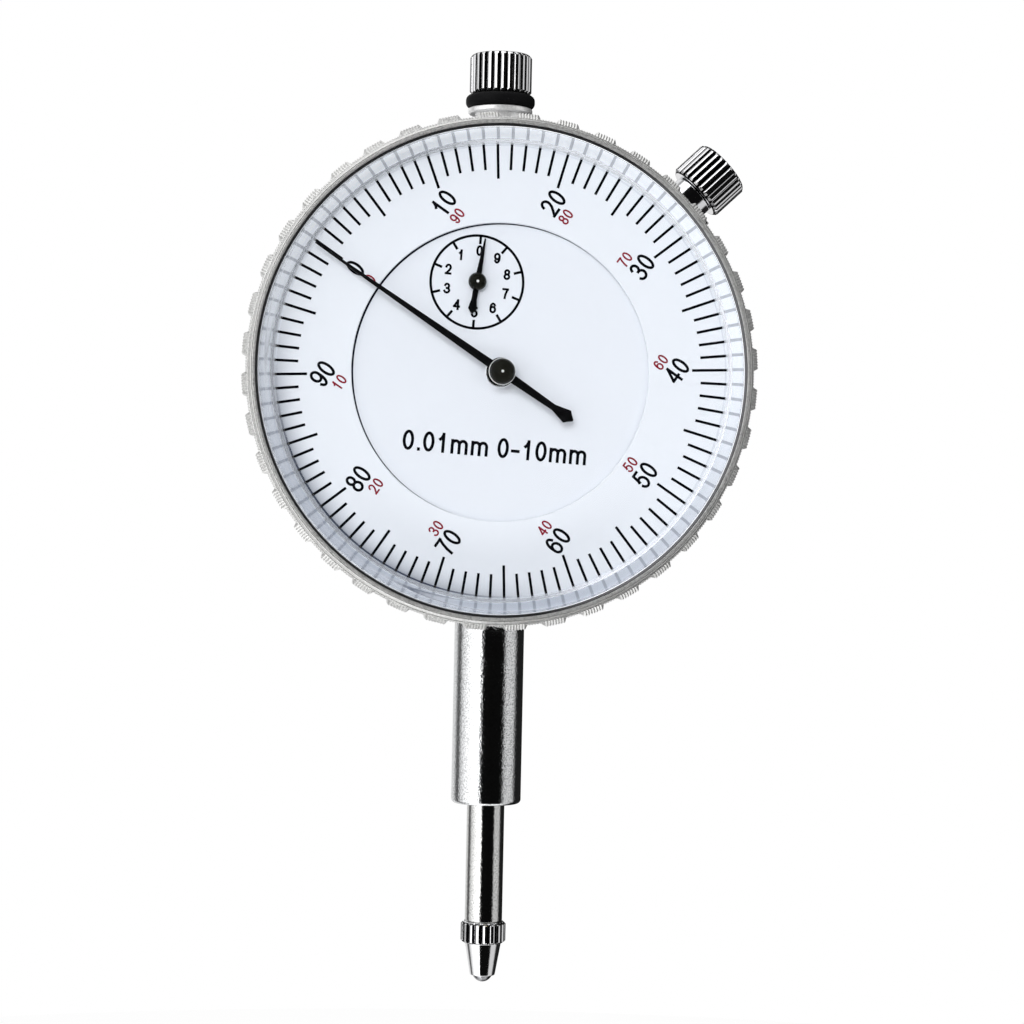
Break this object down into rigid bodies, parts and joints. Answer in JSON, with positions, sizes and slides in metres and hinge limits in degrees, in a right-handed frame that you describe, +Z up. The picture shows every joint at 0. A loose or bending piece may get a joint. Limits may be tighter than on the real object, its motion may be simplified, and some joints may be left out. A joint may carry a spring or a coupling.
{
  "type": "dial indicator",
  "caption": "Plunger dial indicator with a turning bezel and scale, a small hand that counts turns, a lifting cap and a bezel clamp.",
  "frame": {"origin": "on the plunger's axis, in the middle of the stem's clamping length", "axes": "+Z up along the plunger, from the contact to the lifting cap; the dial faces -Y; +X to the right as the dial is read"},
  "size_m": [0.0578, 0.0325, 0.1066],
  "materials": {
    "chrome": "polished",
    "knurled_chrome": "satin, knurled",
    "steel": "ground",
    "brass": "satin",
    "cast_alloy": "satin",
    "black_paint": "gloss black",
    "rubber": "matt black",
    "dial": "matt, printed",
    "clear": "clear, polished",
    "spring_steel": "drawn wire"
  },
  "bodies": {
    "head": {"case": "cast_alloy", "back_cover": "cast_alloy", "cover_screw_1": "steel", "cover_screw_2": "steel", "cover_screw_3": "steel", "cover_screw_4": "steel", "stem": "chrome", "lower_bush": "brass", "upper_bush": "chrome", "guide_plate": "steel", "spring_post": "steel", "bridge_plate": "brass", "bridge_pillar_1": "brass", "bridge_screw_1": "steel", "bridge_pillar_2": "brass", "bridge_screw_2": "steel", "bridge_pillar_3": "brass", "bridge_screw_3": "steel", "bridge_pillar_4": "brass", "bridge_screw_4": "steel", "rack_bridge": "brass", "rack_post_1": "brass", "rack_post_screw_1": "steel", "rack_post_2": "brass", "rack_post_screw_2": "steel", "hairspring": "spring_steel", "hairspring_stud": "steel", "centre_bush": "chrome", "inner_dial": "dial", "bezel_spring": "spring_steel"},
    "plunger": {"plunger": "steel", "contact_point": "chrome", "contact_ball": "steel", "lifting_cap": "knurled_chrome", "cap_ring": "rubber", "guide_pin": "steel", "return_spring": "spring_steel"},
    "rack_arbor": {"rack_pinion": "steel", "main_gear": "brass", "small_hand": "black_paint", "small_hand_hub": "black_paint"},
    "centre_arbor": {"centre_pinion": "steel", "main_hand": "black_paint", "main_hand_hub": "black_paint"},
    "hairspring_arbor": {"hairspring_gear": "brass", "hairspring_arbor": "steel"},
    "bezel": {"bezel": "knurled_chrome", "scale_ring": "dial", "crystal": "clear"},
    "clamp_claw": {"clamp_claw": "steel"},
    "clamp_knob": {"clamp_screw": "chrome", "clamp_knob": "knurled_chrome"}
  },
  "joints": [
    {"name": "plunger_slide", "type": "slide", "parent": "head", "child": "plunger", "axis": [0, 0, 1], "range_m": [0, 0.0102], "stiffness_N_per_m": 70, "springref_m": -0.01, "deforming": ["return_spring"]},
    {"name": "rack_arbor_turn", "type": "hinge", "parent": "head", "child": "rack_arbor", "pos_m": [-0.00285, 0, 0.04905], "axis": [0, 1, 0], "range_deg": [-368, 1]},
    {"name": "centre_arbor_turn", "type": "hinge", "parent": "head", "child": "centre_arbor", "pos_m": [0, 0, 0.039], "axis": [0, 1, 0], "range_deg": [-1, 3673]},
    {"name": "hairspring_arbor_turn", "type": "hinge", "parent": "head", "child": "hairspring_arbor", "pos_m": [0.00672, 0, 0.03099], "axis": [0, 1, 0], "range_deg": [-368, 1]},
    {"name": "bezel_turn", "type": "hinge", "parent": "head", "child": "bezel", "pos_m": [0, 0, 0.039], "axis": [0, 1, 0], "continuous": true},
    {"name": "clamp_claw_slide", "type": "slide", "parent": "head", "child": "clamp_claw", "axis": [0.7242, 0, 0.6896], "range_m": [0, 0.0005]},
    {"name": "clamp_knob_turn", "type": "hinge", "parent": "clamp_claw", "child": "clamp_knob", "pos_m": [0.0239, 0, 0.06176], "axis": [0.7242, 0, 0.6896], "range_deg": [-15, 375]}
  ],
  "couplings": [
    {"joint": "rack_arbor_turn", "follows": "plunger_slide", "rad_per_m": -628.32},
    {"joint": "centre_arbor_turn", "follows": "plunger_slide", "rad_per_m": 6283.2},
    {"joint": "hairspring_arbor_turn", "follows": "plunger_slide", "rad_per_m": -628.32},
    {"joint": "clamp_knob_turn", "follows": "clamp_claw_slide", "rad_per_m": 12566}
  ]
}
